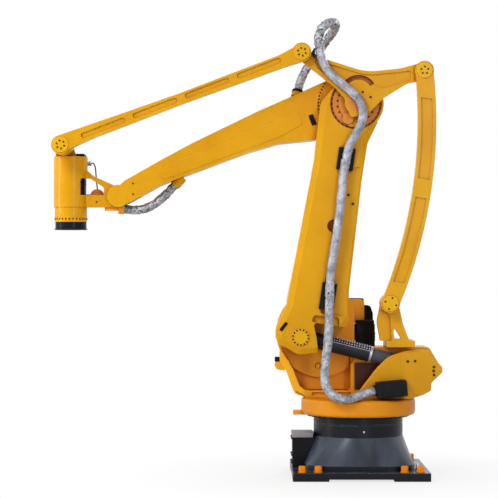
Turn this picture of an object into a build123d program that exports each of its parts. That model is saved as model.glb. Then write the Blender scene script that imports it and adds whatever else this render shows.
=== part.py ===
from build123d import *
import math
import os

# Four-axis palletising robot arm. Millimetres. X points forward along the arm, Z up.
# The origin is on the waist axis at floor level. Links are drawn in their own frames
# and placed at the pose in which the arm stands at rest.

# Arm geometry
SHOULDER_X = 200.0
SHOULDER_Z = 760.0
LOWER_LENGTH = 1240.0
LOWER_LEAN_DEG = -8.3
UPPER_LENGTH = 1360.0
UPPER_DROP_DEG = 21.0
TOOL_OFFSET = 260.0
PLATE_FRONT_X = 290.0
PLATE_FRONT_Z = 263.0
PLATE_REAR_X = -356.0
PLATE_REAR_Z = 167.0

# Layers from the far side to the near side
HOUSING_FAR_Y = -190.0
HOUSING_NEAR_Y = -66.0
FOOT_FAR_Y = -60.0
DECK_NEAR_Y = 30.0
FOOT_SLOT_FAR_Y = 38.0
FOOT_SLOT_NEAR_Y = 140.0
HUB_FAR_Y = -120.0
UPPER_HALF_Y = 70.0
LOWER_FAR_Y = 78.0
LOWER_NEAR_Y = 168.0
CHEEK_FAR_Y = 142.0
CHEEK_NEAR_Y = 170.0
PLATE_FAR_Y = 178.0
PLATE_NEAR_Y = 212.0
ROD_FAR_Y = 218.0
ROD_NEAR_Y = 262.0

# Clearances
BEARING_GAP = 0.3
PIN_FIT = 0.05

# Base
PLATE_SIZE = 720.0
PLATE_BOTTOM_Z = 11.0
PLATE_TOP_Z = 44.0
PAD_SIZE = 190.0
FLARE_BOTTOM_Z = 72.0
FLARE_HALF = 292.0
FLARE_CORNER_R = 150.0
NECK_R = 240.0
NECK_BOTTOM_Z = 214.0
NECK_STEP_Z = 281.0
ANCHOR_SPACING = 620.0
ANCHOR_HOLE_R = 13.0
ANCHOR_PAIR_PITCH = 84.0
CAP_R = 20.0
CAP_HEIGHT = 36.0
BOX_FRONT_X = 356.0
BOX_WIDTH = 170.0
BOX_TOP_Z = 227.0

# Turret
RING_R = 307.0
RING_BOTTOM_Z = 326.0
RING_TOP_Z = 416.0
DECK_TOP_Z = 686.0
SHOULDER_DISC_R = 240.0
HOUSING_R = 184.0
FOOT_R = 222.0
FOOT_SWEEP_GAP = 8.0
FRONT_WALL_Y = -96.0
RIM_HEIGHT = 36.0
STOP_FAR_Y = -40.0
STOP_NEAR_Y = 26.0
LUG_TOP_Z = 608.0
BUMPER_HEIGHT = 24.0
GEAR_OUTPUT_R = 150.0
SHOULDER_MOTOR_SIZE = 130.0
SHOULDER_MOTOR_LENGTH = 250.0
SHOULDER_MOTOR_X = 22.0
SHOULDER_MOTOR_Z = 875.0
WAIST_MOTOR_SIZE = 106.0
WAIST_MOTOR_X = -44.0
WAIST_MOTOR_Y = -135.0
WAIST_MOTOR_HEIGHT = 120.0
BRIDGE_TOP_Z = 727.0
BRIDGE_BOTTOM_Z = 694.0
BRIDGE_FRONT_X = -140.0
BRIDGE_REAR_X = -290.0

HOSE_BLOCK_X = -163.0
HOSE_BLOCK_Z = 475.0
HOSE_BLOCK_LENGTH = 160.0
HOSE_BLOCK_HEIGHT = 82.0
HOSE_BLOCK_NEAR_Y = 284.0
HOSE_BLOCK_TILT = 5.0

# Balancer
BALANCER_PIN_X = 115.0
BALANCER_PIN_Z = -15.0
TAIL_PIN_X = -404.0
TAIL_PIN_Z = 566.0
BARREL_Y = 89.0
BARREL_R = 42.0
BARREL_BORE_R = 33.0
BARREL_LENGTH = 391.0
BARREL_EYE_HALF_Y = 45.0
FRONT_PIN_R = 22.0
PIN_COVER_R = 46.0
BELLOWS_R = 38.0
BELLOWS_BORE_R = 31.0
BELLOWS_LENGTH = 185.0
ROD_R = 15.0
ROD_REACH = 480.0
TAIL_EYE_R = 34.0
TAIL_PIN_R = 15.0

# Elbow, linkage and pivots
HEAD_R = 148.0
GEARBOX_R = 137.0
CASTING_CHAMFER = 20.0
CHAMFER_DEG = 58.0
RECESS_DEPTH = 12.0
POCKET_DEPTH = 9.0
HUB_R = 146.0
GEARBOX_NEAR_Y = 158.0
PLATE_PIN_R = 45.0
LINK_PIN_R = 24.0
EYE_R = 50.0
COVER_R = 42.0
COVER_THICKNESS = 8.0
BAR_HALF_WIDTH = 48.0
BAR_BOW = 78.0
BAR_RIM = 18.0
PLATE_RIM = 15.0
SLOT_X = -11.0
SLOT_Z = 48.0
SLOT_R = 87.0
SLOT_HALF = 13.0
ROD_POCKETS = 4
ROD_POCKET_INSET = 116.0
ROD_POCKET_GAP = 44.0
ROD_POCKET_HALF = 15.0
ELBOW_MOTOR_R = 66.0
ELBOW_MOTOR_LENGTH = 260.0

# Wrist
WRIST_PIN_R = 28.0
WRIST_EYE_R = 60.0
FORK_SLOT_HALF_Y = 37.0
TONGUE_HALF_Y = 35.0
WRIST_SHELL_R = 92.0
WRIST_SHELL_WALL = 14.0
WRIST_SHELL_TOP = 212.0
WRIST_HUB_TOP = 5.0
WRIST_HUB_BOTTOM = -60.0
GEAR_CAN_R = 87.0
GEAR_CAN_BOTTOM = -139.0
FLANGE_R = 84.0
FLANGE_BOTTOM = -182.0
FLANGE_PCD = 125.0
FLANGE_HOLE_R = 5.0
FLANGE_HOLE_DEPTH = 20.0
FLANGE_BOLTS = 6
FLANGE_BORE_R = 40.0
FLANGE_BORE_DEPTH = 8.0
WRIST_MOTOR_SIZE = 110.0
WRIST_MOTOR_TOP = 226.0

# Upper arm's side
BAND_START_X = 296.0
BAND_Z = 82.0
PANEL_STEP = 3.0
ROOT_STEP = 3.0
ROOT_CLEAR_R = 186.0

# Hose
HOSE_R = 23.0
WEDGE_GAP = 5.0
BRACKET_FACE_Y = 184.7
LOW_CLAMP_Z = 204.0
HIGH_CLAMP_Z = 940.0
SOCKET_R = 30.0

# Route of the hose, in sections that meet at its clamps
HOSE_LOW = [(-71, 254, 466), (-32, 264, 456), (6, 290, 446), (44, 317, 434), (84, 331, 424), (125, 337, 433),
            (161, 331, 456), (186, 318, 491), (194, 300, 540), (190, 279, 594), (182, 261, 654), (173, 244, 722),
            (167, 226, 794), (164.2, 208, 869.4), (162.6, 208, 960.7)]
HOSE_ARM = [(162.6, 208, 960.7), (161, 208, 1052), (150, 215, 1150), (130, 222, 1265), (113, 224, 1385),
            (101, 219, 1500), (89.5, 208, 1612), (76, 208, 1685)]
HOSE_ELBOW = [(76, 208, 1685), (63.6, 208, 1752), (32, 222, 1812), (-4, 235, 1870), (-16, 238, 1938),
              (6, 238, 2002), (56, 237, 2050), (110, 236, 2094), (163, 236, 2140), (200, 236, 2192),
              (213, 236, 2253)]
HOSE_LOOP = [(213, 236, 2253), (226, 236, 2314), (212, 224, 2372), (178, 188, 2410), (140, 138, 2422),
             (122, 76, 2418), (132, 16, 2392), (166, -30, 2348), (210, -54, 2292), (254, -58, 2232),
             (290, -48, 2172), (314, -30, 2116), (325, -12, 2070)]
HOSE_WRIST = [(990, 0, 1560), (1020, -3, 1527), (1054, 1, 1493), (1092, 5, 1461), (1134, 5, 1438),
              (1178, 2, 1426), (1220, 0, 1425), (1262, 0, 1431)]

lean = math.radians(LOWER_LEAN_DEG)
drop = math.radians(UPPER_DROP_DEG)
ELBOW_X = SHOULDER_X + LOWER_LENGTH * math.sin(lean)
ELBOW_Z = SHOULDER_Z + LOWER_LENGTH * math.cos(lean)
WRIST_X = ELBOW_X + UPPER_LENGTH * math.cos(drop)
WRIST_Z = ELBOW_Z - UPPER_LENGTH * math.sin(drop)
LINK_FOOT_X = SHOULDER_X + PLATE_REAR_X
LINK_FOOT_Z = SHOULDER_Z + PLATE_REAR_Z
FRONT_PIN_X = SHOULDER_X + BALANCER_PIN_X
FRONT_PIN_Z = SHOULDER_Z + BALANCER_PIN_Z
BALANCER_DEG = math.degrees(math.atan2(FRONT_PIN_Z - TAIL_PIN_Z, FRONT_PIN_X - TAIL_PIN_X))

LOWER = Pos(SHOULDER_X, 0, SHOULDER_Z) * Rot(0, LOWER_LEAN_DEG, 0)
UPPER = Pos(ELBOW_X, 0, ELBOW_Z) * Rot(0, UPPER_DROP_DEG, 0)
PLATE = Pos(ELBOW_X, 0, ELBOW_Z)
ROD = Pos(ELBOW_X + PLATE_FRONT_X, 0, ELBOW_Z + PLATE_FRONT_Z) * Rot(0, UPPER_DROP_DEG, 0)
BAR = Pos(LINK_FOOT_X, 0, LINK_FOOT_Z) * Rot(0, LOWER_LEAN_DEG, 0)
WRIST = Pos(WRIST_X, 0, WRIST_Z)
BALANCER = Pos(FRONT_PIN_X, BARREL_Y, FRONT_PIN_Z) * Rot(0, -BALANCER_DEG, 0)
TAIL = Pos(TAIL_PIN_X, BARREL_Y, TAIL_PIN_Z) * Rot(0, -BALANCER_DEG, 0)

parts = {}


def outline(*corners):
    """Flat face in the XZ plane. Each corner is x, z and an optional rounding radius."""
    points = [(c[0], 0, c[1]) for c in corners]
    radii = [c[2] if len(c) > 2 else 0 for c in corners]
    return make_face(FilletPolyline(*points, radius=radii, close=True))


def slab(face, far_y, near_y):
    """The face drawn out along Y from one layer to another."""
    return extrude(Pos(0, far_y, 0) * face, amount=near_y - far_y, dir=(0, 1, 0))


def disc_y(x, z, radius, far_y, near_y):
    """A round bar along Y."""
    return Pos(x, (far_y + near_y) / 2, z) * Rot(90, 0, 0) * Cylinder(radius, near_y - far_y)


def disc_z(x, y, radius, low, high):
    """A round bar along Z."""
    return Pos(x, y, (low + high) / 2) * Cylinder(radius, high - low)


def block(x0, x1, y0, y1, z0, z1):
    """A box between two corners."""
    return Pos((x0 + x1) / 2, (y0 + y1) / 2, (z0 + z1) / 2) * Box(x1 - x0, y1 - y0, z1 - z0)


def build_base():
    half = PLATE_SIZE / 2
    inset = half - PAD_SIZE / 2
    anchor = ANCHOR_SPACING / 2
    corners = [(sx, sy) for sx in (-1, 1) for sy in (-1, 1)]
    plate = block(-half, half, -half, half, PLATE_BOTTOM_Z, PLATE_TOP_Z)
    for sx, sy in corners:
        plate += Pos(sx * inset, sy * inset, PLATE_BOTTOM_Z / 2) * Box(PAD_SIZE, PAD_SIZE, PLATE_BOTTOM_Z)
    for sx, sy in corners:
        plate -= disc_z(sx * anchor, sy * anchor, ANCHOR_HOLE_R, 0, PLATE_TOP_Z)
    parts["base_plate"] = plate

    low = Pos(0, 0, FLARE_BOTTOM_Z) * RectangleRounded(2 * FLARE_HALF, 2 * FLARE_HALF, FLARE_CORNER_R)
    high = Pos(0, 0, NECK_BOTTOM_Z) * Circle(NECK_R)
    flare = loft([low, high])
    foot = extrude(Pos(0, 0, PLATE_TOP_Z - FLARE_BOTTOM_Z) * low, amount=FLARE_BOTTOM_Z - PLATE_TOP_Z)
    neck = disc_z(0, 0, NECK_R, NECK_BOTTOM_Z, RING_BOTTOM_Z - BEARING_GAP)
    groove = disc_z(0, 0, NECK_R, NECK_STEP_Z - 3, NECK_STEP_Z + 3) - disc_z(0, 0, NECK_R - 3, NECK_STEP_Z - 3,
                                                                           NECK_STEP_Z + 3)
    parts["base_casting"] = foot + flare + neck - groove

    box = block(FLARE_HALF + 1, BOX_FRONT_X, -BOX_WIDTH / 2, BOX_WIDTH / 2, PLATE_TOP_Z, BOX_TOP_Z)
    neck_box = block(NECK_R, FLARE_HALF + 1, -BOX_WIDTH / 2, BOX_WIDTH / 2, PLATE_TOP_Z, BOX_TOP_Z)
    parts["connector_box"] = box + (neck_box - parts["base_casting"])

    caps = []
    for sx, sy in corners:
        for shift in (0, -ANCHOR_PAIR_PITCH):
            cap = disc_z(sx * (anchor + shift), sy * anchor, CAP_R, PLATE_TOP_Z, PLATE_TOP_Z + CAP_HEIGHT)
            caps.append(chamfer(cap.edges().group_by(Axis.Z)[-1], 4))
    parts["anchor_caps"] = Compound(children=caps)


def build_turret():
    ring = disc_z(0, 0, RING_R, RING_BOTTOM_Z, RING_TOP_Z)
    parts["turret_ring"] = fillet(ring.edges(), 18)
    build_turret_frame()

    cheek = outline((10, RING_TOP_Z), (10, 450), (-86, 577, 200), (-149, 641, 120), (-239, 675, 100), (-298, 681, 60),
                    (-377, 675, 20), (-380, 649, 20), (-438, 585, 15), (-438, 559, 15), (-380, 503, 20),
                    (-377, 462, 10), (-338, 440, 10), (-266, RING_TOP_Z))
    plate = slab(cheek, CHEEK_FAR_Y, CHEEK_NEAR_Y)
    parts["near_cheek"] = chamfer(plate.edges().filter_by_position(Axis.Y, CHEEK_NEAR_Y - 1, CHEEK_NEAR_Y + 1), 4)
    parts["balancer_tail_pin"] = disc_y(TAIL_PIN_X, TAIL_PIN_Z, TAIL_PIN_R, DECK_NEAR_Y, CHEEK_FAR_Y)
    build_link_bracket()

    half = SHOULDER_MOTOR_SIZE / 2
    far = HOUSING_FAR_Y - SHOULDER_MOTOR_LENGTH
    body = block(SHOULDER_MOTOR_X - half, SHOULDER_MOTOR_X + half, far, HOUSING_FAR_Y,
                 SHOULDER_MOTOR_Z - half, SHOULDER_MOTOR_Z + half)
    parts["shoulder_motor"] = fillet(body.edges().filter_by(Axis.Y), 14)
    face = SHOULDER_MOTOR_X - half
    top = SHOULDER_MOTOR_Z + half - 33
    connector = outline((face, top - 86), (face, top, 10), (face - 37, top - 2, 20), (face - 52, top - 47, 8),
                        (face - 52, top - 86))
    parts["motor_connector"] = slab(connector, HOUSING_FAR_Y - 110, HOUSING_FAR_Y - 25)

    size = WAIST_MOTOR_SIZE / 2
    waist = block(WAIST_MOTOR_X - size, WAIST_MOTOR_X + size, WAIST_MOTOR_Y - size, WAIST_MOTOR_Y + size,
                  DECK_TOP_Z, DECK_TOP_Z + WAIST_MOTOR_HEIGHT)
    parts["waist_motor"] = fillet(waist.edges().filter_by(Axis.Z), 10)

    block_depth = HOSE_BLOCK_NEAR_Y - CHEEK_NEAR_Y
    hose_block = Box(HOSE_BLOCK_LENGTH, block_depth, HOSE_BLOCK_HEIGHT)
    place = Pos(HOSE_BLOCK_X, CHEEK_NEAR_Y + block_depth / 2, HOSE_BLOCK_Z) * Rot(0, HOSE_BLOCK_TILT, 0)
    parts["hose_connector_block"] = place * fillet(hose_block.edges(), 4) + hose_socket(*HOSE_LOW[:2], 26)
    parts["waist_stop"] = block(RING_R - 30, 351, -22, 22, RING_BOTTOM_Z - 4, RING_BOTTOM_Z + 20) - parts["turret_ring"]


def build_turret_frame():
    """The turning casting: deck, recessed front wall with its rim, shoulder housing and the stop lug."""
    side = outline((10, RING_TOP_Z), (281, RING_TOP_Z), (338, 434), (352, 456), (389, 558), (422, 606),
                   (422, 680), (200, 720), (10, 720), (10, DECK_TOP_Z), (-380, DECK_TOP_Z, 20), (-440, 585, 20),
                   (-440, 558, 20), (-345, 440, 30), (-266, RING_TOP_Z))
    body = slab(side, HOUSING_FAR_Y, DECK_NEAR_Y)
    pocket = outline((40, RING_TOP_Z + RIM_HEIGHT, 10), (282, RING_TOP_Z + RIM_HEIGHT, 30), (316, 476, 20),
                     (351, 566, 20), (372, 600), (372, 700), (40, 700))
    body -= slab(pocket, FRONT_WALL_Y, DECK_NEAR_Y)
    body -= disc_y(SHOULDER_X, SHOULDER_Z, FOOT_R + FOOT_SWEEP_GAP, HOUSING_NEAR_Y, DECK_NEAR_Y)
    slot = outline((40, RING_TOP_Z + 8, 5), (250, RING_TOP_Z + 8, 5), (250, RING_TOP_Z + RIM_HEIGHT - 8, 5),
                   (40, RING_TOP_Z + RIM_HEIGHT - 8, 5))
    body -= slab(slot, DECK_NEAR_Y - RECESS_DEPTH, DECK_NEAR_Y)
    housing = disc_y(SHOULDER_X, SHOULDER_Z, SHOULDER_DISC_R, HOUSING_FAR_Y, HOUSING_NEAR_Y)
    rear_edge = SHOULDER_X - HOUSING_R
    housing -= block(-200, rear_edge, HOUSING_FAR_Y, HOUSING_NEAR_Y, SHOULDER_Z - 300, SHOULDER_Z + 300)
    housing -= block(-200, rear_edge + 30, HOUSING_FAR_Y, HOUSING_NEAR_Y, SHOULDER_Z - 300, SHOULDER_Z - 110)
    housing -= block(-200, 600, HOUSING_FAR_Y, HOUSING_NEAR_Y, SHOULDER_Z + HOUSING_R, SHOULDER_Z + 300)
    output = disc_y(SHOULDER_X, SHOULDER_Z, GEAR_OUTPUT_R, HOUSING_NEAR_Y, FOOT_FAR_Y - BEARING_GAP)
    half = SHOULDER_MOTOR_SIZE / 2
    lobe = outline((SHOULDER_MOTOR_X - half, SHOULDER_MOTOR_Z - half, 10),
                   (SHOULDER_MOTOR_X - half, SHOULDER_MOTOR_Z + half, 20),
                   (SHOULDER_MOTOR_X + half, SHOULDER_MOTOR_Z + half, 20),
                   (SHOULDER_X + 60, SHOULDER_Z + 150), (SHOULDER_X, SHOULDER_Z - 100), (10, SHOULDER_Z - 60),
                   (10, SHOULDER_MOTOR_Z - half))
    parts["turret_frame"] = body + housing + output + slab(lobe, HOUSING_FAR_Y, HOUSING_FAR_Y + 40)

    lug = outline((395, LUG_TOP_Z - 48), (440, LUG_TOP_Z - 41, 6), (452, LUG_TOP_Z - 18, 6), (447, LUG_TOP_Z, 4),
                  (405, LUG_TOP_Z))
    parts["arm_stop"] = slab(lug, STOP_FAR_Y, STOP_NEAR_Y) - parts["turret_frame"]
    bumper = block(424, 450, STOP_FAR_Y + 4, STOP_NEAR_Y - 4, LUG_TOP_Z, LUG_TOP_Z + BUMPER_HEIGHT)
    parts["stop_bumper"] = fillet(bumper.edges().filter_by(Axis.Z), 6)


def build_link_bracket():
    """The forked bracket on its bridge plate that carries the foot of the rear link."""
    bridge = block(BRIDGE_REAR_X, BRIDGE_FRONT_X, -60, 200, BRIDGE_BOTTOM_Z, BRIDGE_TOP_Z)
    bridge += block(BRIDGE_REAR_X, BRIDGE_FRONT_X, -60, DECK_NEAR_Y, DECK_TOP_Z, BRIDGE_BOTTOM_Z)
    legs = outline((LINK_FOOT_X + 46, LINK_FOOT_Z), (LINK_FOOT_X + 65, LINK_FOOT_Z - 100, 60),
                   (LINK_FOOT_X + 48, BRIDGE_TOP_Z), (LINK_FOOT_X - 104, BRIDGE_TOP_Z),
                   (LINK_FOOT_X - 70, LINK_FOOT_Z - 110, 60), (LINK_FOOT_X - 46, LINK_FOOT_Z))
    slot = outline((LINK_FOOT_X - 14, BRIDGE_TOP_Z + 90, 8), (LINK_FOOT_X - 26, BRIDGE_TOP_Z + 10, 4),
                   (LINK_FOOT_X - 64, BRIDGE_TOP_Z + 10, 4))
    fork = slab(legs, 120, 200) - slab(slot, 100, 210)
    front_leg = outline((LINK_FOOT_X + 70, LINK_FOOT_Z - 30), (LINK_FOOT_X + 70, BRIDGE_TOP_Z),
                        (LINK_FOOT_X - 12, BRIDGE_TOP_Z, 8), (LINK_FOOT_X - 2, LINK_FOOT_Z - 70, 20),
                        (LINK_FOOT_X + 20, LINK_FOOT_Z - 40, 20))
    fork -= slab(front_leg, 180, 200)
    fork += disc_y(LINK_FOOT_X, LINK_FOOT_Z, EYE_R, 120, PLATE_NEAR_Y)
    fork += disc_y(LINK_FOOT_X, LINK_FOOT_Z, LINK_PIN_R, PLATE_NEAR_Y, ROD_NEAR_Y)
    parts["link_bracket"] = fork + bridge


def cast_slab(face, far_y, near_y):
    """A slab whose near face is smaller all round, as a casting's chamfered edge."""
    straight = slab(face, far_y, near_y - CASTING_CHAMFER)
    top = extrude(Pos(0, near_y - CASTING_CHAMFER, 0) * face, amount=CASTING_CHAMFER, dir=(0, 1, 0),
                  taper=CHAMFER_DEG)
    return straight + top


def build_lower_arm():
    top = LOWER_LENGTH
    side = outline((186, top - 20, 60), (176, top - 335, 300), (199, 381, 300), (210, 128, 60), (249, 0, 80),
                   (240, -75, 60), (109, -124, 60), (-11, -98, 60), (-133, 76, 60), (-108, 244, 100),
                   (-90, top - 403, 200), (-92, top - 200, 60), (-130, top - 81), (0, top + 20), (100, top + 115, 60))
    web = cast_slab(side, LOWER_FAR_Y, LOWER_NEAR_Y) + disc_y(0, top, HEAD_R, LOWER_FAR_Y, LOWER_NEAR_Y - 10)
    foot = slab(side, FOOT_FAR_Y, LOWER_FAR_Y)
    wedge = Plane.YZ * make_face(Polyline((FOOT_FAR_Y, -200), (FOOT_FAR_Y, 200), (LOWER_FAR_Y, 400),
                                          (LOWER_FAR_Y, -200), close=True))
    foot &= extrude(Pos(-300, 0, 0) * wedge, amount=600, dir=(1, 0, 0))
    foot &= disc_y(0, 0, FOOT_R, FOOT_FAR_Y, LOWER_FAR_Y) + block(-300, 300, FOOT_FAR_Y, LOWER_FAR_Y, 140, 500)
    arm = web + foot
    arm -= block(-300, BALANCER_PIN_X + 63, FOOT_SLOT_FAR_Y, FOOT_SLOT_NEAR_Y, -200, 95)
    arm -= disc_y(0, top, GEARBOX_R, LOWER_FAR_Y, LOWER_NEAR_Y)
    recess = outline((27, 110, 10), (27, top - 410, 40), (-40, top - 335, 40), (-200, top - 310), (-200, 110))
    arm -= slab(recess, LOWER_NEAR_Y - RECESS_DEPTH, LOWER_NEAR_Y)
    arm -= disc_y(21, 579, 36, LOWER_NEAR_Y - 60, LOWER_NEAR_Y)
    arch = outline((66, 60, 10), (60, 96, 20), (-76, 104, 20), (-84, 50, 20), (-60, 40))
    arm -= slab(arch, LOWER_NEAR_Y - RECESS_DEPTH - 12, LOWER_NEAR_Y)
    opening = outline((56, 56, 15), (-200, 56), (-200, -140), (-5, -140), (28, -20, 30))
    arm -= slab(opening, FOOT_SLOT_NEAR_Y - 1, LOWER_NEAR_Y)
    pin = LOWER.inverse() * disc_y(FRONT_PIN_X, FRONT_PIN_Z, FRONT_PIN_R, FOOT_SLOT_FAR_Y, FOOT_SLOT_NEAR_Y)
    parts["lower_arm"] = LOWER * (arm + pin)

    parts["balancer_pin_cover"] = disc_y(FRONT_PIN_X, FRONT_PIN_Z, PIN_COVER_R, LOWER_NEAR_Y, LOWER_NEAR_Y + 6)
    gearbox = disc_y(0, top, GEARBOX_R, UPPER_HALF_Y + 2 + BEARING_GAP, GEARBOX_NEAR_Y - 14)
    gearbox += disc_y(0, top, GEARBOX_R - 12, GEARBOX_NEAR_Y - 14, GEARBOX_NEAR_Y - 8)
    gearbox += disc_y(0, top, 92, GEARBOX_NEAR_Y - 8, GEARBOX_NEAR_Y)
    gearbox += disc_y(30, top - 84, 30, GEARBOX_NEAR_Y - 14, GEARBOX_NEAR_Y + 6)
    gearbox += disc_y(0, top, PLATE_PIN_R, GEARBOX_NEAR_Y, PLATE_NEAR_Y)
    parts["elbow_gearbox"] = LOWER * gearbox

    for name, x0, x1, middle, half in (("lower_hose_bracket", -40, 38, LOW_CLAMP_Z, 72),
                                       ("upper_hose_bracket", -34, 54, HIGH_CLAMP_Z, 59)):
        clip = block(x0, x1, LOWER_NEAR_Y - RECESS_DEPTH, BRACKET_FACE_Y, middle - half, middle + half)
        parts[name] = LOWER * (clip - arm)


def pocket_row(starts, length, half_height):
    """Rounded pockets in a row along the X axis of a link."""
    end_r = half_height - 0.5
    return [outline((x, -half_height, end_r), (x, half_height, end_r), (x + length, half_height, end_r),
                    (x + length, -half_height, end_r)) for x in starts]


def build_linkage():
    build_link_plate()
    rod = outline((0, 42), (120, 27, 60), (UPPER_LENGTH / 2, 28, 300), (UPPER_LENGTH - 400, 36, 200),
                  (UPPER_LENGTH, 50), (UPPER_LENGTH, -40), (UPPER_LENGTH - 180, -30, 100),
                  (UPPER_LENGTH / 2, -30, 300), (111, -42, 60), (0, -48))
    rod_solid = slab(rod, ROD_FAR_Y, ROD_NEAR_Y)
    pitch = (UPPER_LENGTH - 2 * ROD_POCKET_INSET + ROD_POCKET_GAP) / ROD_POCKETS
    starts = [ROD_POCKET_INSET + pitch * i for i in range(ROD_POCKETS)]
    for pocket in pocket_row(starts, pitch - ROD_POCKET_GAP, ROD_POCKET_HALF):
        rod_solid -= slab(Pos(0, 0, 1) * pocket, ROD_NEAR_Y - POCKET_DEPTH, ROD_NEAR_Y)
        rod_solid -= slab(Pos(0, 0, 1) * pocket, ROD_FAR_Y, ROD_FAR_Y + POCKET_DEPTH)
    for x in (0, UPPER_LENGTH):
        rod_solid += disc_y(x, 0, EYE_R, ROD_FAR_Y, ROD_NEAR_Y)
    for x in (0, UPPER_LENGTH):
        rod_solid -= disc_y(x, 0, LINK_PIN_R + PIN_FIT, ROD_FAR_Y, ROD_NEAR_Y)
    parts["top_rod"] = ROD * rod_solid
    parts["top_rod_covers"] = ROD * Compound(children=[pin_cover(x, 0) for x in (0, UPPER_LENGTH)])

    top = LOWER_LENGTH
    bar = slab(bowed_bar(BAR_HALF_WIDTH, 0, top), ROD_FAR_Y, ROD_NEAR_Y)
    for low, high in ((115, 574), (673, top - 143)):
        pocket = bowed_bar(BAR_HALF_WIDTH - BAR_RIM, low, high)
        bar -= slab(pocket, ROD_NEAR_Y - POCKET_DEPTH, ROD_NEAR_Y)
        bar -= slab(pocket, ROD_FAR_Y, ROD_FAR_Y + POCKET_DEPTH)
    for z in (0, top):
        bar += disc_y(0, z, EYE_R, ROD_FAR_Y, ROD_NEAR_Y)
    for z in (0, top):
        bar -= disc_y(0, z, LINK_PIN_R + PIN_FIT, ROD_FAR_Y, ROD_NEAR_Y)
    parts["rear_link"] = BAR * bar
    parts["rear_link_covers"] = BAR * Compound(children=[pin_cover(0, z) for z in (0, top)])


def pin_cover(x, z):
    """The round cap over a link pin, with a chamfered edge."""
    cover = disc_y(x, z, COVER_R, ROD_NEAR_Y, ROD_NEAR_Y + COVER_THICKNESS)
    return chamfer(cover.edges().group_by(Axis.Y)[-1], 2)


def bowed_bar(half_width, low, high):
    """The stretch of the bowed rear bar between two heights, at a half width from its middle line."""
    def edge(offset):
        points = []
        for z in (low, (low + high) / 2, high):
            across = 2 * z / LOWER_LENGTH - 1
            points.append((offset - BAR_BOW * (1 - across * across), 0, z))
        return points
    front = edge(half_width)
    rear = edge(-half_width)
    return make_face([ThreePointArc(*front), ThreePointArc(*rear), Line(front[0], rear[0]), Line(front[2], rear[2])])


def build_link_plate():
    web = outline((PLATE_FRONT_X + 20, PLATE_FRONT_Z + 42), (167, 232, 200), (-50, 163, 300), (-231, 181, 200),
                  (PLATE_REAR_X + 11, PLATE_REAR_Z + 45), (PLATE_REAR_X - 9, PLATE_REAR_Z - 45), (-270, 103, 60),
                  (-147, 27, 60), (-70, -50, 20), (30, -80, 20), (60, 20, 60), (113, 81, 60), (216, 163, 60),
                  (PLATE_FRONT_X - 5, PLATE_FRONT_Z - 48))
    face = web + outline_disc(PLATE_FRONT_X, PLATE_FRONT_Z, EYE_R - 4)
    face += outline_disc(PLATE_REAR_X, PLATE_REAR_Z, EYE_R - 4) + outline_disc(0, 0, PLATE_PIN_R + PLATE_RIM)
    plate = slab(face, PLATE_FAR_Y, PLATE_NEAR_Y)
    recess = outline((230, 238, 10), (167, 214, 200), (-50, 145, 300), (-231, 163, 200), (-290, 172, 10),
                     (-285, 118, 10), (-225, 100, 30), (-130, 70, 60), (-85, 98, 20), (-40, 122, 40), (20, 120, 30),
                     (70, 100, 20), (113, 111, 60), (205, 181, 40))
    plate -= slab(recess, PLATE_NEAR_Y - POCKET_DEPTH, PLATE_NEAR_Y)
    slot = outline_disc(SLOT_X, SLOT_Z, SLOT_R + SLOT_HALF) - outline_disc(SLOT_X, SLOT_Z, SLOT_R - SLOT_HALF)
    slot &= outline((SLOT_X, SLOT_Z), (SLOT_X + 2 * SLOT_R, SLOT_Z + 1.3 * SLOT_R),
                    (SLOT_X, SLOT_Z + 3 * SLOT_R), (SLOT_X - 2 * SLOT_R, SLOT_Z + 1.3 * SLOT_R))
    plate -= slab(slot, PLATE_FAR_Y, PLATE_NEAR_Y)
    plate -= disc_y(0, 0, PLATE_PIN_R + PIN_FIT, PLATE_FAR_Y, PLATE_NEAR_Y)
    plate += disc_y(PLATE_FRONT_X, PLATE_FRONT_Z, LINK_PIN_R, PLATE_NEAR_Y, ROD_NEAR_Y)
    plate += disc_y(PLATE_REAR_X, PLATE_REAR_Z, LINK_PIN_R, PLATE_NEAR_Y, ROD_NEAR_Y)
    parts["link_plate"] = PLATE * plate
    hose_x = HOSE_LOOP[0][0] + HOSE_R + WEDGE_GAP - ELBOW_X
    wedge = outline((hose_x, PLATE_FRONT_Z - 31), (hose_x, PLATE_FRONT_Z + 32, 3), (hose_x + 19, PLATE_FRONT_Z, 3))
    parts["plate_hose_bracket"] = PLATE * slab(wedge, PLATE_NEAR_Y, PLATE_NEAR_Y + 20)


def outline_disc(x, z, radius):
    """A round flat face in the XZ plane."""
    return Pos(x, 0, z) * Rot(90, 0, 0) * Circle(radius)


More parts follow.
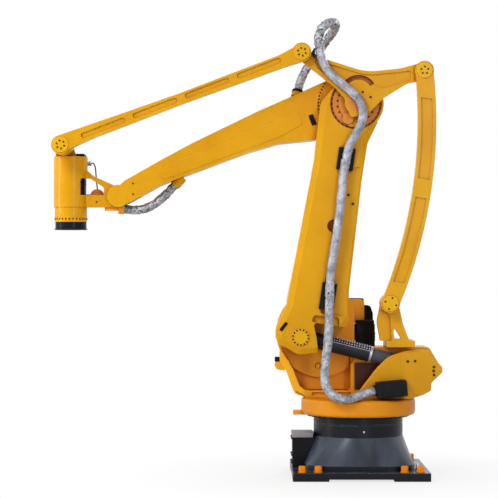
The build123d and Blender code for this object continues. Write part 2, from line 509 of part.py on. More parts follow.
def build_upper_arm():
    end = UPPER_LENGTH
    side = outline((-20, 140), (100, 176, 40), (252, 167, 100), (499, 155, 200), (end - 474, 122, 300),
                   (end - 277, 97, 200), (end - 60, 64), (end + 20, 30), (end, -30), (end - 27, -WRIST_EYE_R + 5),
                   (end - 60, -52, 40), (end - 231, -27, 100), (632, -31, 200), (453, -46, 100), (257, -100, 60),
                   (60, -130))
    arm = slab(side, -UPPER_HALF_Y, UPPER_HALF_Y)
    band = [(UPPER_HALF_Y, BAND_Z), (UPPER_HALF_Y + 10, BAND_Z), (UPPER_HALF_Y + 10, 260), (0, 260)]
    for mirror in (1, -1):
        corner = make_face(Polyline(*[(mirror * y, z) for y, z in band], close=True))
        arm -= extrude(Pos(BAND_START_X, 0, 0) * Plane.YZ * corner, amount=end - 120 - BAND_START_X, dir=(1, 0, 0))
    arm += disc_y(end, 0, WRIST_EYE_R, -UPPER_HALF_Y, UPPER_HALF_Y)
    root = outline((-20, 140), (100, 176, 40), (150, 172), (172, 110, 60), (205, 60, 60), (212, -20, 60),
                   (196, -112), (60, -130))
    arm += slab(root, UPPER_HALF_Y, UPPER_HALF_Y + ROOT_STEP) - disc_y(0, 0, ROOT_CLEAR_R, 0, UPPER_HALF_Y + ROOT_STEP)
    panel = outline((BAND_START_X, BAND_Z - 8, 30), (BAND_START_X, 4, 30), (460, -16, 100), (632, -12, 200),
                    (end - 260, -8, 40), (end - 230, 30, 20), (end - 260, 62, 20))
    for far, near in ((UPPER_HALF_Y, UPPER_HALF_Y + PANEL_STEP), (-UPPER_HALF_Y - PANEL_STEP, -UPPER_HALF_Y)):
        arm += slab(panel, far, near)
    arm += disc_y(0, 0, HUB_R, HUB_FAR_Y, UPPER_HALF_Y + 2)
    arm -= block(end - 110, end + 120, -FORK_SLOT_HALF_Y, FORK_SLOT_HALF_Y, -150, 150)
    arm += disc_y(end, 0, WRIST_PIN_R, -FORK_SLOT_HALF_Y, FORK_SLOT_HALF_Y)
    parts["upper_arm"] = UPPER * arm
    motor = disc_y(0, 0, ELBOW_MOTOR_R, HUB_FAR_Y - ELBOW_MOTOR_LENGTH, HUB_FAR_Y)
    parts["elbow_motor"] = UPPER * chamfer(motor.edges().group_by(Axis.Y)[0], 6)
    plug = outline((228, -22, 4), (228, 36, 4), (254, 36, 4), (254, -22, 4))
    parts["arm_plug"] = UPPER * slab(plug, UPPER_HALF_Y, UPPER_HALF_Y + PANEL_STEP)
    placed = UPPER * arm
    parts["hose_clamp"] = hose_socket(HOSE_LOOP[-1], HOSE_LOOP[-2], 40) - placed
    parts["wrist_hose_gland"] = hose_socket(*HOSE_WRIST[:2], 60) - placed


def hose_socket(end, beyond, length):
    """The round holder that a hose ends in, reaching back from the hose's end."""
    start = Vector(*end)
    back = (start - Vector(*beyond)).normalized()
    plane = Plane(origin=start, z_dir=back)
    return plane * Pos(0, 0, length / 2) * Cylinder(SOCKET_R, length)


def build_wrist():
    axis = TOOL_OFFSET
    hub = disc_z(axis, 0, WRIST_SHELL_R, WRIST_HUB_BOTTOM, WRIST_HUB_TOP)
    beam = block(-20, axis - 30, -TONGUE_HALF_Y, TONGUE_HALF_Y, WRIST_HUB_BOTTOM, 5)
    tongue = disc_y(0, 0, WRIST_EYE_R - 6, -TONGUE_HALF_Y, TONGUE_HALF_Y)
    web = outline((PLATE_FRONT_X + 46, PLATE_FRONT_Z), (axis + 80, WRIST_SHELL_TOP), (axis + 80, -20), (-20, -20),
                  (20, 56), (135, 107, 100), (216, 179, 60), (PLATE_FRONT_X - 46, PLATE_FRONT_Z))
    web_solid = slab(web, 12, TONGUE_HALF_Y) + disc_y(PLATE_FRONT_X, PLATE_FRONT_Z, EYE_R, 12, PLATE_NEAR_Y)
    window = outline((205, 5, 5), (205, 98, 15), (151, 93, 15), (80, 46, 10), (80, 5, 5))
    shell = disc_z(axis, 0, WRIST_SHELL_R, WRIST_HUB_TOP, WRIST_SHELL_TOP)
    shell -= disc_z(axis, 0, WRIST_SHELL_R - WRIST_SHELL_WALL, WRIST_HUB_TOP, WRIST_SHELL_TOP)
    shell &= block(axis - 200, axis + 200, 12, 200, WRIST_HUB_TOP, WRIST_SHELL_TOP)
    casting = hub + beam + tongue + web_solid + shell
    casting -= slab(window, 0, 120)
    casting += disc_y(PLATE_FRONT_X, PLATE_FRONT_Z, LINK_PIN_R, PLATE_NEAR_Y, ROD_NEAR_Y)
    casting -= disc_y(0, 0, WRIST_PIN_R + PIN_FIT, -TONGUE_HALF_Y, TONGUE_HALF_Y)
    parts["wrist_casting"] = WRIST * casting
    lug = WRIST * block(-10, 76, -24, 24, WRIST_HUB_BOTTOM - 18, WRIST_HUB_BOTTOM)
    holder = hose_socket(HOSE_WRIST[-1], HOSE_WRIST[-2], 30)
    holder -= WRIST * block(-60, 60, -60, 60, WRIST_HUB_BOTTOM, 60)
    parts["wrist_hose_bracket"] = lug + holder - parts["wrist_casting"]

    parts["wrist_gear_can"] = WRIST * disc_z(axis, 0, GEAR_CAN_R, GEAR_CAN_BOTTOM, WRIST_HUB_BOTTOM)
    half = WRIST_MOTOR_SIZE / 2
    motor = block(axis - 20 - half, axis - 20 + half, -45 - half, -45 + half, WRIST_HUB_TOP, WRIST_MOTOR_TOP)
    parts["wrist_motor"] = WRIST * fillet(motor.edges().filter_by(Axis.Z), 10)

    flange = disc_z(axis, 0, FLANGE_R, FLANGE_BOTTOM, GEAR_CAN_BOTTOM - BEARING_GAP)
    flange -= disc_z(axis, 0, FLANGE_BORE_R, FLANGE_BOTTOM, FLANGE_BOTTOM + FLANGE_BORE_DEPTH)
    for i in range(FLANGE_BOLTS):
        a = math.radians(360 / FLANGE_BOLTS * i)
        x = axis + FLANGE_PCD / 2 * math.cos(a)
        y = FLANGE_PCD / 2 * math.sin(a)
        flange -= disc_z(x, y, FLANGE_HOLE_R, FLANGE_BOTTOM, FLANGE_BOTTOM + FLANGE_HOLE_DEPTH)
    parts["tool_flange"] = WRIST * flange


def bar_x(radius, start, end):
    """A round bar along the X axis of a link's frame."""
    return Pos((start + end) / 2, 0, 0) * Rot(0, 90, 0) * Cylinder(radius, end - start)


def build_balancer():
    eye = disc_y(0, 0, BARREL_R + 5, -BARREL_EYE_HALF_Y, BARREL_EYE_HALF_Y)
    barrel = bar_x(BARREL_R, -BARREL_LENGTH, 0) + eye
    barrel -= disc_y(0, 0, FRONT_PIN_R + PIN_FIT, -BARREL_EYE_HALF_Y, BARREL_EYE_HALF_Y)
    barrel -= bar_x(BARREL_BORE_R, -BARREL_LENGTH, -80)
    parts["balancer_barrel"] = BALANCER * barrel
    sleeve = bar_x(BELLOWS_R, -BARREL_LENGTH - BELLOWS_LENGTH, -BARREL_LENGTH)
    sleeve -= bar_x(BELLOWS_BORE_R, -BARREL_LENGTH - BELLOWS_LENGTH, -BARREL_LENGTH)
    parts["balancer_bellows"] = BALANCER * sleeve
    rod = bar_x(ROD_R, 0, ROD_REACH) + disc_y(0, 0, TAIL_EYE_R, -30, 30)
    rod -= disc_y(0, 0, TAIL_PIN_R + PIN_FIT, -30, 30)
    parts["balancer_rod"] = TAIL * rod


def hose_tube(points):
    """A round tube along straight runs joined by arcs as large as the runs allow."""
    corners = [Vector(*p) for p in points]
    runs = [b - a for a, b in zip(corners, corners[1:])]
    radii = []
    for before, after in zip(runs, runs[1:]):
        shorter = min(before.length, after.length)
        radii.append(0.45 * shorter / math.tan(math.radians(before.get_angle(after)) / 2))
    path = FilletPolyline(*points, radius=radii)
    print("hose radii", [round(r) for r in radii], "length", round(path.length))
    return sweep(Plane(origin=path @ 0, z_dir=path % 0) * Circle(HOSE_R), path=path)


def build_hose():
    for name, points in (("hose_low", HOSE_LOW), ("hose_arm", HOSE_ARM), ("hose_elbow", HOSE_ELBOW),
                         ("hose_loop", HOSE_LOOP), ("hose_wrist", HOSE_WRIST)):
        parts[name] = hose_tube(points)


build_base()
build_turret()
build_lower_arm()
build_linkage()
build_upper_arm()
build_wrist()
build_balancer()
build_hose()

os.makedirs("parts", exist_ok=True)
for name, shape in parts.items():
    export_step(shape, os.path.join("parts", name + ".step"))
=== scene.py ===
import math

import bmesh
import bpy
from mathutils import Matrix, Vector, noise


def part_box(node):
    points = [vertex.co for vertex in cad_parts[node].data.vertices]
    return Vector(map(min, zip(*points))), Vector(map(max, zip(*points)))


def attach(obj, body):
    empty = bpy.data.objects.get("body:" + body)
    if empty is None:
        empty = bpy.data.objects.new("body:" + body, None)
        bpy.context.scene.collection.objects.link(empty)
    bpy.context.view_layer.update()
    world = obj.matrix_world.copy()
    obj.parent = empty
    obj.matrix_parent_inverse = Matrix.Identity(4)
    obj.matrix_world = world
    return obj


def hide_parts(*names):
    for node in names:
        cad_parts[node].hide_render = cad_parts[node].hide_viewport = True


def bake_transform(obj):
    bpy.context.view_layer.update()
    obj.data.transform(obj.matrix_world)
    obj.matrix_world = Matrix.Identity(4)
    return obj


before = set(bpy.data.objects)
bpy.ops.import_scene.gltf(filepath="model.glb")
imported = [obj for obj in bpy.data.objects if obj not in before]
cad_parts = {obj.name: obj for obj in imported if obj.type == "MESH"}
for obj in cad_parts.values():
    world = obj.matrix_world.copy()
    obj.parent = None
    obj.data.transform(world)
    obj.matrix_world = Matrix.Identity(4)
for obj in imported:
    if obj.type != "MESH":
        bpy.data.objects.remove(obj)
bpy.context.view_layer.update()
scene = bpy.context.scene

# Camera
camera_data = bpy.data.cameras.new("camera")
camera_data.angle = math.radians(15.32)
camera_data.shift_y = 0.0242
camera = bpy.data.objects.new("camera", camera_data)
camera.location = (0.589, 10.0, 1.15)
camera.rotation_euler = (math.pi / 2, 0, math.pi)
scene.collection.objects.link(camera)
scene.camera = camera

# Places on the arm in metres, the upper arm's drop towards the wrist, and the hose's radius
ELBOW = Vector((0.021, 0, 1.987))
FRONT_PIN = Vector((0.315, 0, 0.745))
TAIL_PIN = Vector((-0.404, 0, 0.566))
ROD_REAR = Vector((0.311, 0, 2.250))
ROD_FRONT = Vector((1.5807, 0, 1.7626))
LINK_TOP = Vector((-0.335, 0, 2.154))
LINK_FOOT = Vector((-0.156, 0, 0.927))
TOOL_X = 1.5507
DROP = math.radians(21)
NEAR = Vector((0, 1, 0))
UP = Vector((0, 0, 1))
HOSE_R = 0.023

# Routes of the hose in metres, in sections that run from clamp to clamp
HOSE_LOW = ((-0.071, 0.254, 0.466), (-0.032, 0.264, 0.456), (0.006, 0.290, 0.446), (0.044, 0.317, 0.434),
            (0.084, 0.331, 0.424), (0.125, 0.337, 0.433), (0.161, 0.331, 0.456), (0.186, 0.318, 0.491),
            (0.194, 0.300, 0.540), (0.190, 0.279, 0.594), (0.182, 0.261, 0.654), (0.173, 0.244, 0.722),
            (0.167, 0.226, 0.794), (0.1642, 0.208, 0.8694), (0.1626, 0.208, 0.9607))
HOSE_ARM = ((0.1626, 0.208, 0.9607), (0.161, 0.208, 1.052), (0.150, 0.215, 1.150), (0.130, 0.222, 1.265),
            (0.113, 0.224, 1.385), (0.101, 0.219, 1.500), (0.0895, 0.208, 1.612), (0.076, 0.208, 1.685))
HOSE_ELBOW = ((0.076, 0.208, 1.685), (0.0636, 0.208, 1.752), (0.032, 0.222, 1.812), (-0.004, 0.235, 1.870),
              (-0.016, 0.238, 1.938), (0.006, 0.238, 2.002), (0.056, 0.237, 2.050), (0.110, 0.236, 2.094),
              (0.163, 0.236, 2.140), (0.200, 0.236, 2.192), (0.213, 0.236, 2.253))
HOSE_LOOP = ((0.213, 0.236, 2.253), (0.226, 0.236, 2.314), (0.212, 0.224, 2.372), (0.178, 0.188, 2.410),
             (0.140, 0.138, 2.422), (0.122, 0.076, 2.418), (0.132, 0.016, 2.392), (0.166, -0.030, 2.348),
             (0.210, -0.054, 2.292), (0.254, -0.058, 2.232), (0.290, -0.048, 2.172), (0.314, -0.030, 2.116),
             (0.325, -0.012, 2.070))
HOSE_WRIST = ((0.990, 0.000, 1.560), (1.020, -0.003, 1.527), (1.054, 0.001, 1.493), (1.092, 0.005, 1.461),
              (1.134, 0.005, 1.438), (1.178, 0.002, 1.426), (1.220, 0.000, 1.425), (1.262, 0.000, 1.431))


def route_path(points):
    """The points that a smooth line through the route follows."""
    curve = bpy.data.curves.new("route", "CURVE")
    curve.dimensions = "3D"
    curve.resolution_u = 20
    spline = curve.splines.new("NURBS")
    spline.points.add(len(points) - 1)
    for point, place in zip(spline.points, points):
        point.co = (*place, 1)
    spline.order_u = 3
    spline.use_endpoint_u = True
    holder = bpy.data.objects.new("route", curve)
    scene.collection.objects.link(holder)
    mesh = bpy.data.meshes.new_from_object(holder)
    path = [v.co.copy() for v in mesh.vertices]
    bpy.data.objects.remove(holder)
    bpy.data.meshes.remove(mesh)
    return path


def even(path, step):
    """The same line with points a step apart."""
    total = sum((b - a).length for a, b in zip(path, path[1:]))
    count = max(2, round(total / step))
    out = [path[0].copy()]
    walked, index = 0.0, 0
    for i in range(1, count):
        target = total * i / count
        while index < len(path) - 2 and walked + (path[index + 1] - path[index]).length < target:
            walked += (path[index + 1] - path[index]).length
            index += 1
        run = path[index + 1] - path[index]
        out.append(path[index] + run * ((target - walked) / max(run.length, 1e-9)))
    out.append(path[-1].copy())
    return out


def new_object(name, bm, material, smooth_deg=35):
    """A mesh object, smooth but at edges sharper than smooth_deg, with its material and slot."""
    mesh = bpy.data.meshes.new(name)
    bmesh.ops.recalc_face_normals(bm, faces=bm.faces)
    bm.to_mesh(mesh)
    bm.free()
    for polygon in mesh.polygons:
        polygon.use_smooth = True
    mesh.set_sharp_from_angle(angle=math.radians(smooth_deg))
    mesh.materials.append(material)
    obj = bpy.data.objects.new(name, mesh)
    scene.collection.objects.link(obj)
    return obj


def sweep(bm, path, radius, sides):
    """A closed tube along a path.

    radius(length, angle, share) gives its radius at a length, an angle and a share of the path.
    """
    side = (path[1] - path[0]).normalized().orthogonal().normalized()
    total = sum((b - a).length for a, b in zip(path, path[1:]))
    length, rings = 0.0, []
    for i, point in enumerate(path):
        ahead = path[min(i + 1, len(path) - 1)] - path[max(i - 1, 0)]
        ahead.normalize()
        side = (side - ahead * side.dot(ahead)).normalized()
        other = ahead.cross(side)
        if i:
            length += (point - path[i - 1]).length
        ring = []
        for j in range(sides):
            angle = 2 * math.pi * j / sides
            r = radius(length, angle, length / total)
            ring.append(bm.verts.new(point + side * (r * math.cos(angle)) + other * (r * math.sin(angle))))
        rings.append(ring)
    for low, high in zip(rings, rings[1:]):
        for j in range(sides):
            k = (j + 1) % sides
            bm.faces.new((low[j], low[k], high[k], high[j]))
    bm.faces.new(rings[0][::-1])
    bm.faces.new(rings[-1])


def lathe(bm, centre, axis, profile, sides, turn=0.0):
    """A solid of revolution. profile is a list of (radius, height) pairs, from the base to the top."""
    place = Matrix.Translation(centre) @ axis.to_track_quat("Z", "Y").to_matrix().to_4x4()
    rings = []
    for radius, height in profile:
        if radius < 1e-6:
            rings.append([bm.verts.new(place @ Vector((0, 0, height)))])
            continue
        angles = [turn + 2 * math.pi * j / sides for j in range(sides)]
        rings.append([bm.verts.new(place @ Vector((radius * math.cos(a), radius * math.sin(a), height)))
                      for a in angles])
    for low, high in zip(rings, rings[1:]):
        for j in range(sides):
            k = (j + 1) % sides
            if len(low) == 1 and len(high) > 1:
                bm.faces.new((low[0], high[k], high[j]))
            elif len(high) == 1 and len(low) > 1:
                bm.faces.new((low[j], low[k], high[0]))
            elif len(low) > 1:
                bm.faces.new((low[j], low[k], high[k], high[j]))
    for ring, end in ((rings[0], 0), (rings[-1], -1)):
        if len(ring) > 1:
            bm.faces.new(ring if end else ring[::-1])


def cap_screw(bm, centre, axis, r, height):
    """A socket-head screw with a rounded edge and a recessed hexagon."""
    lathe(bm, centre, axis, [(r, -0.001), (r, height * 0.8), (r * 0.88, height), (r * 0.55, height)], 14)
    socket = [(r * 0.5, 0.0002), (r * 0.45, -height * 0.45), (0, -height * 0.45)]
    lathe(bm, centre + axis * height, axis, socket, 6)


def hex_screw(bm, centre, axis, r, height, turn=0.0):
    """A hexagon head on its washer."""
    lathe(bm, centre, axis, [(r * 1.3, -0.001), (r * 1.3, height * 0.2), (r * 1.22, height * 0.28)], 18)
    lathe(bm, centre, axis, [(r, height * 0.2), (r, height * 0.85), (r * 0.85, height), (0, height)], 6, turn)


def box(bm, low, high, bevel, matrix=None):
    """A box between two corners, with rounded edges, moved by a matrix if there is one."""
    made = bmesh.ops.create_cube(bm, size=1)
    verts = made["verts"]
    low, high = Vector(low), Vector(high)
    for v in verts:
        v.co = Vector((low[i] + (high[i] - low[i]) * (v.co[i] + 0.5) for i in range(3)))
    edges = list({e for v in verts for e in v.link_edges})
    rounded = bmesh.ops.bevel(bm, geom=edges, offset=bevel, segments=2, affect="EDGES", profile=0.6)
    if matrix is not None:
        bmesh.ops.transform(bm, matrix=matrix, verts=list({v for f in rounded["faces"] for v in f.verts}))


def ring_points(centre, radius, count, start_deg=0.0):
    """Points round a circle in the side view."""
    angles = [math.radians(start_deg + 360.0 * i / count) for i in range(count)]
    return [centre + Vector((radius * math.cos(a), 0, radius * math.sin(a))) for a in angles]


def at(place, y):
    """The same place in the side view, at another depth."""
    return Vector((place.x, y, place.z))


def spots(y, *places):
    """Points given as (x, z) in the side view, at one depth."""
    return [Vector((x, y, z)) for x, z in places]


def on_upper(x, z, y):
    """A point given along the upper arm."""
    return Vector((ELBOW.x + x * math.cos(DROP) + z * math.sin(DROP), y,
                   ELBOW.z - x * math.sin(DROP) + z * math.cos(DROP)))


# Materials
def srgb(red, green, blue):
    """A colour given as 0 to 255 on the screen, in linear light."""
    linear = [((v / 255 + 0.055) / 1.055) ** 2.4 if v > 10 else v / 255 / 12.92 for v in (red, green, blue)]
    return (*linear, 1)


class Nodes:
    """Short names for building a node material."""

    def __init__(self, name):
        self.material = bpy.data.materials.new(name)
        self.material.use_nodes = True
        self.tree = self.material.node_tree
        self.tree.nodes.clear()
        self.out = self.new("ShaderNodeOutputMaterial")
        self.shader = self.new("ShaderNodeBsdfPrincipled")
        self.link(self.shader.outputs[0], self.out.inputs[0])
        self.coordinate = self.new("ShaderNodeTexCoord").outputs["Object"]

    def new(self, kind, **values):
        node = self.tree.nodes.new(kind)
        for key, value in values.items():
            setattr(node, key, value)
        return node

    def link(self, source, target):
        self.tree.links.new(source, target)

    def set(self, **values):
        for key, value in values.items():
            self.shader.inputs[key.replace("_", " ")].default_value = value

    def noise(self, scale, detail=3.0, rough=0.55, stretch=None):
        vector = self.coordinate
        if stretch is not None:
            mapping = self.new("ShaderNodeMapping")
            mapping.inputs["Scale"].default_value = stretch
            self.link(vector, mapping.inputs["Vector"])
            vector = mapping.outputs[0]
        node = self.new("ShaderNodeTexNoise")
        node.inputs["Scale"].default_value = scale
        node.inputs["Detail"].default_value = detail
        node.inputs["Roughness"].default_value = rough
        self.link(vector, node.inputs["Vector"])
        return node.outputs["Fac"]

    def ramp(self, value, *stops):
        node = self.new("ShaderNodeValToRGB")
        ramp = node.color_ramp
        while len(ramp.elements) < len(stops):
            ramp.elements.new(0.5)
        for element, (position, colour) in zip(ramp.elements, stops):
            element.position = position
            element.color = colour if not isinstance(colour, (int, float)) else (colour, colour, colour, 1)
        self.link(value, node.inputs[0])
        return node.outputs["Color"]

    def mix(self, share, first, second, blend="MIX"):
        node = self.new("ShaderNodeMix", data_type="RGBA", blend_type=blend)
        for socket, value in zip((node.inputs[0], node.inputs[6], node.inputs[7]), (share, first, second)):
            if isinstance(value, bpy.types.NodeSocket):
                self.link(value, socket)
            else:
                socket.default_value = value
        return node.outputs[2]

    def inside(self, low, high, soft):
        """One inside a box of the object's own space, fading to nothing at its sides."""
        place = self.new("ShaderNodeSeparateXYZ")
        self.link(self.coordinate, place.inputs[0])
        share = None
        for axis in range(3):
            for near, far in ((low[axis], low[axis] + soft), (high[axis], high[axis] - soft)):
                side = self.new("ShaderNodeMapRange", interpolation_type="SMOOTHSTEP")
                side.inputs["From Min"].default_value = near
                side.inputs["From Max"].default_value = far
                self.link(place.outputs[axis], side.inputs["Value"])
                if share is None:
                    share = side.outputs[0]
                    continue
                both = self.new("ShaderNodeMath", operation="MULTIPLY")
                self.link(share, both.inputs[0])
                self.link(side.outputs[0], both.inputs[1])
                share = both.outputs[0]
        return share

    def occlusion(self, distance):
        """One in the open, lower in corners that something closes within a distance."""
        node = self.new("ShaderNodeAmbientOcclusion", samples=6)
        node.inputs["Distance"].default_value = distance
        return node.outputs["AO"]

    def edge(self, radius):
        """A value that is one on flat faces and lower close to a sharp edge, and the rounded normal."""
        bevel = self.new("ShaderNodeBevel", samples=4)
        bevel.inputs["Radius"].default_value = radius
        flat = self.new("ShaderNodeNewGeometry")
        dot = self.new("ShaderNodeVectorMath", operation="DOT_PRODUCT")
        self.link(bevel.outputs[0], dot.inputs[0])
        self.link(flat.outputs["Normal"], dot.inputs[1])
        return dot.outputs["Value"], bevel.outputs[0]

    def bump(self, height, strength, distance, normal=None):
        node = self.new("ShaderNodeBump")
        node.inputs["Strength"].default_value = strength
        node.inputs["Distance"].default_value = distance
        self.link(height, node.inputs["Height"])
        if normal is not None:
            self.link(normal, node.inputs["Normal"])
        self.link(node.outputs[0], self.shader.inputs["Normal"])


def paint(name, base, shade, light, rough, coat, grain=1.0, gloss=0.14, top_light=None, shade_box=None):
    """Enamel on a sand casting: soft drift of colour, painted shade near parts and in corners, painted edge
    highlight, cast grain.

    The colour for faces that look up is a painted highlight on them. The box given is painted dark as a
    cavity's shade.
    """
    n = Nodes(name)
    deep = (base[0] * 0.90, base[1] * 0.84, base[2] * 0.6, 1)
    bright = (min(1, base[0] * 1.08), min(1, base[1] * 1.12), base[2] * 1.2, 1)
    drift = n.ramp(n.noise(2.1, 5, 0.6), (0.32, deep), (0.5, base), (0.68, bright))
    speck = n.ramp(n.noise(420, 2), (0.30, 0.9), (0.42, 1.0))
    colour = n.mix(1.0, drift, speck, "MULTIPLY")
    # Painted shade: a wide soft darkening near other parts, then a deeper one in corners
    soft_shade = (base[0] * 0.86, base[1] * 0.66, base[2], 1)
    colour = n.mix(n.ramp(n.occlusion(0.30), (0.20, 0.85), (0.85, 0.0)), colour, soft_shade)
    colour = n.mix(n.ramp(n.occlusion(0.06), (0.10, 1.0), (0.65, 0.0)), colour, shade)
    # Painted highlight: faces that look up turn lighter, in streaks
    if top_light is not None:
        up = n.new("ShaderNodeSeparateXYZ")
        n.link(n.new("ShaderNodeNewGeometry").outputs["Normal"], up.inputs[0])
        streak = n.ramp(n.noise(4, 3, stretch=(1, 1, 0.25)), (0.38, 0.12), (0.60, 1.0))
        top_lit = n.mix(1.0, n.ramp(up.outputs["Z"], (0.08, 0.0), (0.42, 1.0)), streak, "MULTIPLY")
        colour = n.mix(top_lit, colour, top_light)
    # Painted shade: a dark tone inside the given box, where a cavity would lie in shade
    if shade_box is not None:
        colour = n.mix(n.inside(*shade_box), colour, PAINTED_CAVITY_SHADE)
    # Painted highlight along sharp edges, broken up by noise
    dot, rounded = n.edge(0.004)
    rim = n.ramp(dot, (0.86, 1.0), (0.985, 0.0))
    thin = n.mix(1.0, rim, n.ramp(n.noise(30, 3), (0.35, 0.25), (0.65, 0.75)), "MULTIPLY")
    colour = n.mix(thin, colour, light)
    n.link(colour, n.shader.inputs["Base Color"])
    n.link(n.ramp(n.noise(9, 5), (0.3, rough * 0.85), (0.7, rough * 1.35)), n.shader.inputs["Roughness"])
    n.set(Coat_Weight=coat, Coat_Roughness=0.16, Specular_IOR_Level=gloss)
    grit = n.mix(0.35, n.noise(150, 3), n.noise(38, 2))
    n.bump(grit, 0.16 * grain, 0.0012, rounded)
    return n.material


def metal(name, base, rough, metallic=1.0, coat=0.0):
    """Steel with an uneven tone, and painted shade in corners."""
    n = Nodes(name)
    dark = tuple(c * 0.72 for c in base[:3]) + (1,)
    colour = n.ramp(n.noise(6, 4), (0.3, dark), (0.68, base))
    shaded = n.ramp(n.occlusion(0.04), (0.2, 0.8), (0.9, 0.0))
    n.link(n.mix(shaded, colour, (0.004, 0.004, 0.005, 1)), n.shader.inputs["Base Color"])
    n.link(n.ramp(n.noise(18, 4), (0.3, rough * 0.8), (0.7, rough * 1.3)), n.shader.inputs["Roughness"])
    n.set(Metallic=metallic, Coat_Weight=coat, Coat_Roughness=0.1, Specular_IOR_Level=0.15)
    n.bump(n.noise(220, 2), 0.08, 0.0006, n.edge(0.002)[1])
    return n.material


def plastic(name, base, rough, strength=0.06, scale=500):
    """Plastic, rubber or dull black paint with a fine grain."""
    n = Nodes(name)
    light = tuple(min(1, c * 1.25 + 0.002) for c in base[:3]) + (1,)
    n.link(n.ramp(n.noise(12, 4), (0.35, base), (0.7, light)), n.shader.inputs["Base Color"])
    uneven = n.ramp(n.noise(40, 3), (0.3, rough * 0.85), (0.7, min(1, rough * 1.2)))
    n.link(uneven, n.shader.inputs["Roughness"])
    n.set(Specular_IOR_Level=0.1)
    n.bump(n.noise(scale, 2), strength, 0.0005, n.edge(0.0015)[1])
    return n.material


def jacket(name, base, dark, strength, fold_shade_share):
    """Aluminised sleeve: softly metallic grey with fine creases, painted shade in their folds and in corners,
    painted highlight on their ridges. The last argument is the share of the creases painted as shade.
    """
    n = Nodes(name)
    crease = n.noise(72, 6, 0.72)
    light = tuple(min(1, c * 1.3) for c in base[:3]) + (1,)
    # Painted shade in the folds of the creases and a painted highlight on their ridges
    colour = n.ramp(crease, (fold_shade_share - 0.06, dark), (fold_shade_share + 0.04, base), (0.66, light))
    soft = n.ramp(n.noise(17, 5), (0.36, 0.5), (0.62, 1.0))
    colour = n.mix(1.0, colour, soft, "MULTIPLY")
    # Painted shade in corners
    shaded = n.ramp(n.occlusion(0.03), (0.3, 0.8), (0.95, 0.0))
    n.link(n.mix(shaded, colour, dark), n.shader.inputs["Base Color"])
    n.link(n.ramp(n.noise(60, 4), (0.3, 0.32), (0.7, 0.55)), n.shader.inputs["Roughness"])
    n.set(Metallic=0.35, Specular_IOR_Level=0.3)
    n.bump(n.mix(0.5, n.noise(240, 3), crease), strength, 0.0026)
    return n.material


# The colour of the painted shade in the cavity
PAINTED_CAVITY_SHADE = srgb(70, 28, 6)
# The cavity behind the balancer, painted as shade: two corners, and how softly it starts
CAVITY_SHADE_BOX = ((-0.17, 0.0, 0.448), (0.030, 0.06, 0.612), 0.014)
PAINT = paint("robot_paint", srgb(221, 159, 0), srgb(142, 62, 4), srgb(255, 216, 104), 0.30, 0.10)
PAINT_WARM = paint("robot_paint_warm", srgb(240, 160, 14), srgb(140, 60, 10), srgb(252, 200, 90), 0.34, 0.08)
# The turntable ring: a darker, oranger copy of the paint, as painted shade
PAINT_RING_SHADED = paint("ring_paint_shaded", srgb(226, 142, 16), srgb(128, 56, 12), srgb(255, 206, 96), 0.32, 0.12, 1.4)
# The turning frame: a lighter copy of the paint, as painted light, with painted shade in the cavity box
PAINT_FRAME_LIT = paint("turret_paint_lit", srgb(252, 180, 28), srgb(200, 108, 24), srgb(252, 208, 100), 0.34, 0.08,
                    shade_box=CAVITY_SHADE_BOX)
# Parts lying in shade (elbow gearbox, slot sheet, boss behind the wrist's web): a darker, redder copy of the
# paint, as painted shade
PAINT_SHADED = paint("gearbox_paint_shaded", srgb(222, 142, 58), srgb(112, 50, 18), srgb(246, 196, 120), 0.42, 0.03,
                   1.6)
PAINT_SOFT = paint("cover_paint", srgb(228, 172, 6), srgb(156, 80, 6), srgb(255, 220, 120), 0.3, 0.10)
# The black casting: faces that look up are painted a lighter grey, as a highlight
CASTING = paint("black_casting", srgb(16, 20, 26), srgb(4, 5, 7), srgb(120, 130, 146), 0.26, 0.12, 1.6, 0.16,
                top_light=srgb(70, 78, 91))
BOX_BLACK = paint("box_black", srgb(16, 17, 22), srgb(4, 4, 6), srgb(76, 82, 92), 0.34, 0.05, 0.5, 0.10)
MOTOR = plastic("motor_black", srgb(12, 10, 12), 0.5)
BLOCK = plastic("block_black", srgb(20, 22, 23), 0.55)
RUBBER = plastic("rubber_black", srgb(20, 20, 23), 0.65, 0.12, 320)
# Bellows: rubber painted lighter grey than black, as a painted sheen on its folds
BELLOWS_SHEEN = plastic("bellows_rubber_sheen", srgb(92, 92, 101), 0.42, 0.12, 320)
LID = metal("box_lid_steel", srgb(152, 146, 148), 0.5, 0.4)
BARREL = metal("barrel_steel", srgb(44, 44, 50), 0.42, 0.35, 0.03)
STEEL = metal("bright_steel", srgb(190, 192, 196), 0.28)
DARK_STEEL = metal("dark_steel", srgb(44, 38, 36), 0.48, 0.7)
BRONZED = metal("bronzed_steel", srgb(118, 62, 30), 0.46, 0.4)
SILVER = metal("connector_silver", srgb(188, 190, 198), 0.4, 0.7)
CAP = plastic("cap_orange", srgb(240, 132, 10), 0.45, 0.05)
SLEEVE = jacket("hose_sleeve", srgb(178, 180, 192), srgb(84, 88, 102), 0.6, 0.38)
SPECKLED = jacket("hose_speckled", srgb(184, 186, 194), srgb(52, 52, 62), 0.8, 0.42)
FOIL = jacket("hose_foil", srgb(186, 186, 194), srgb(24, 24, 30), 0.9, 0.45)
CABLE = plastic("cable_black", srgb(18, 18, 20), 0.5)

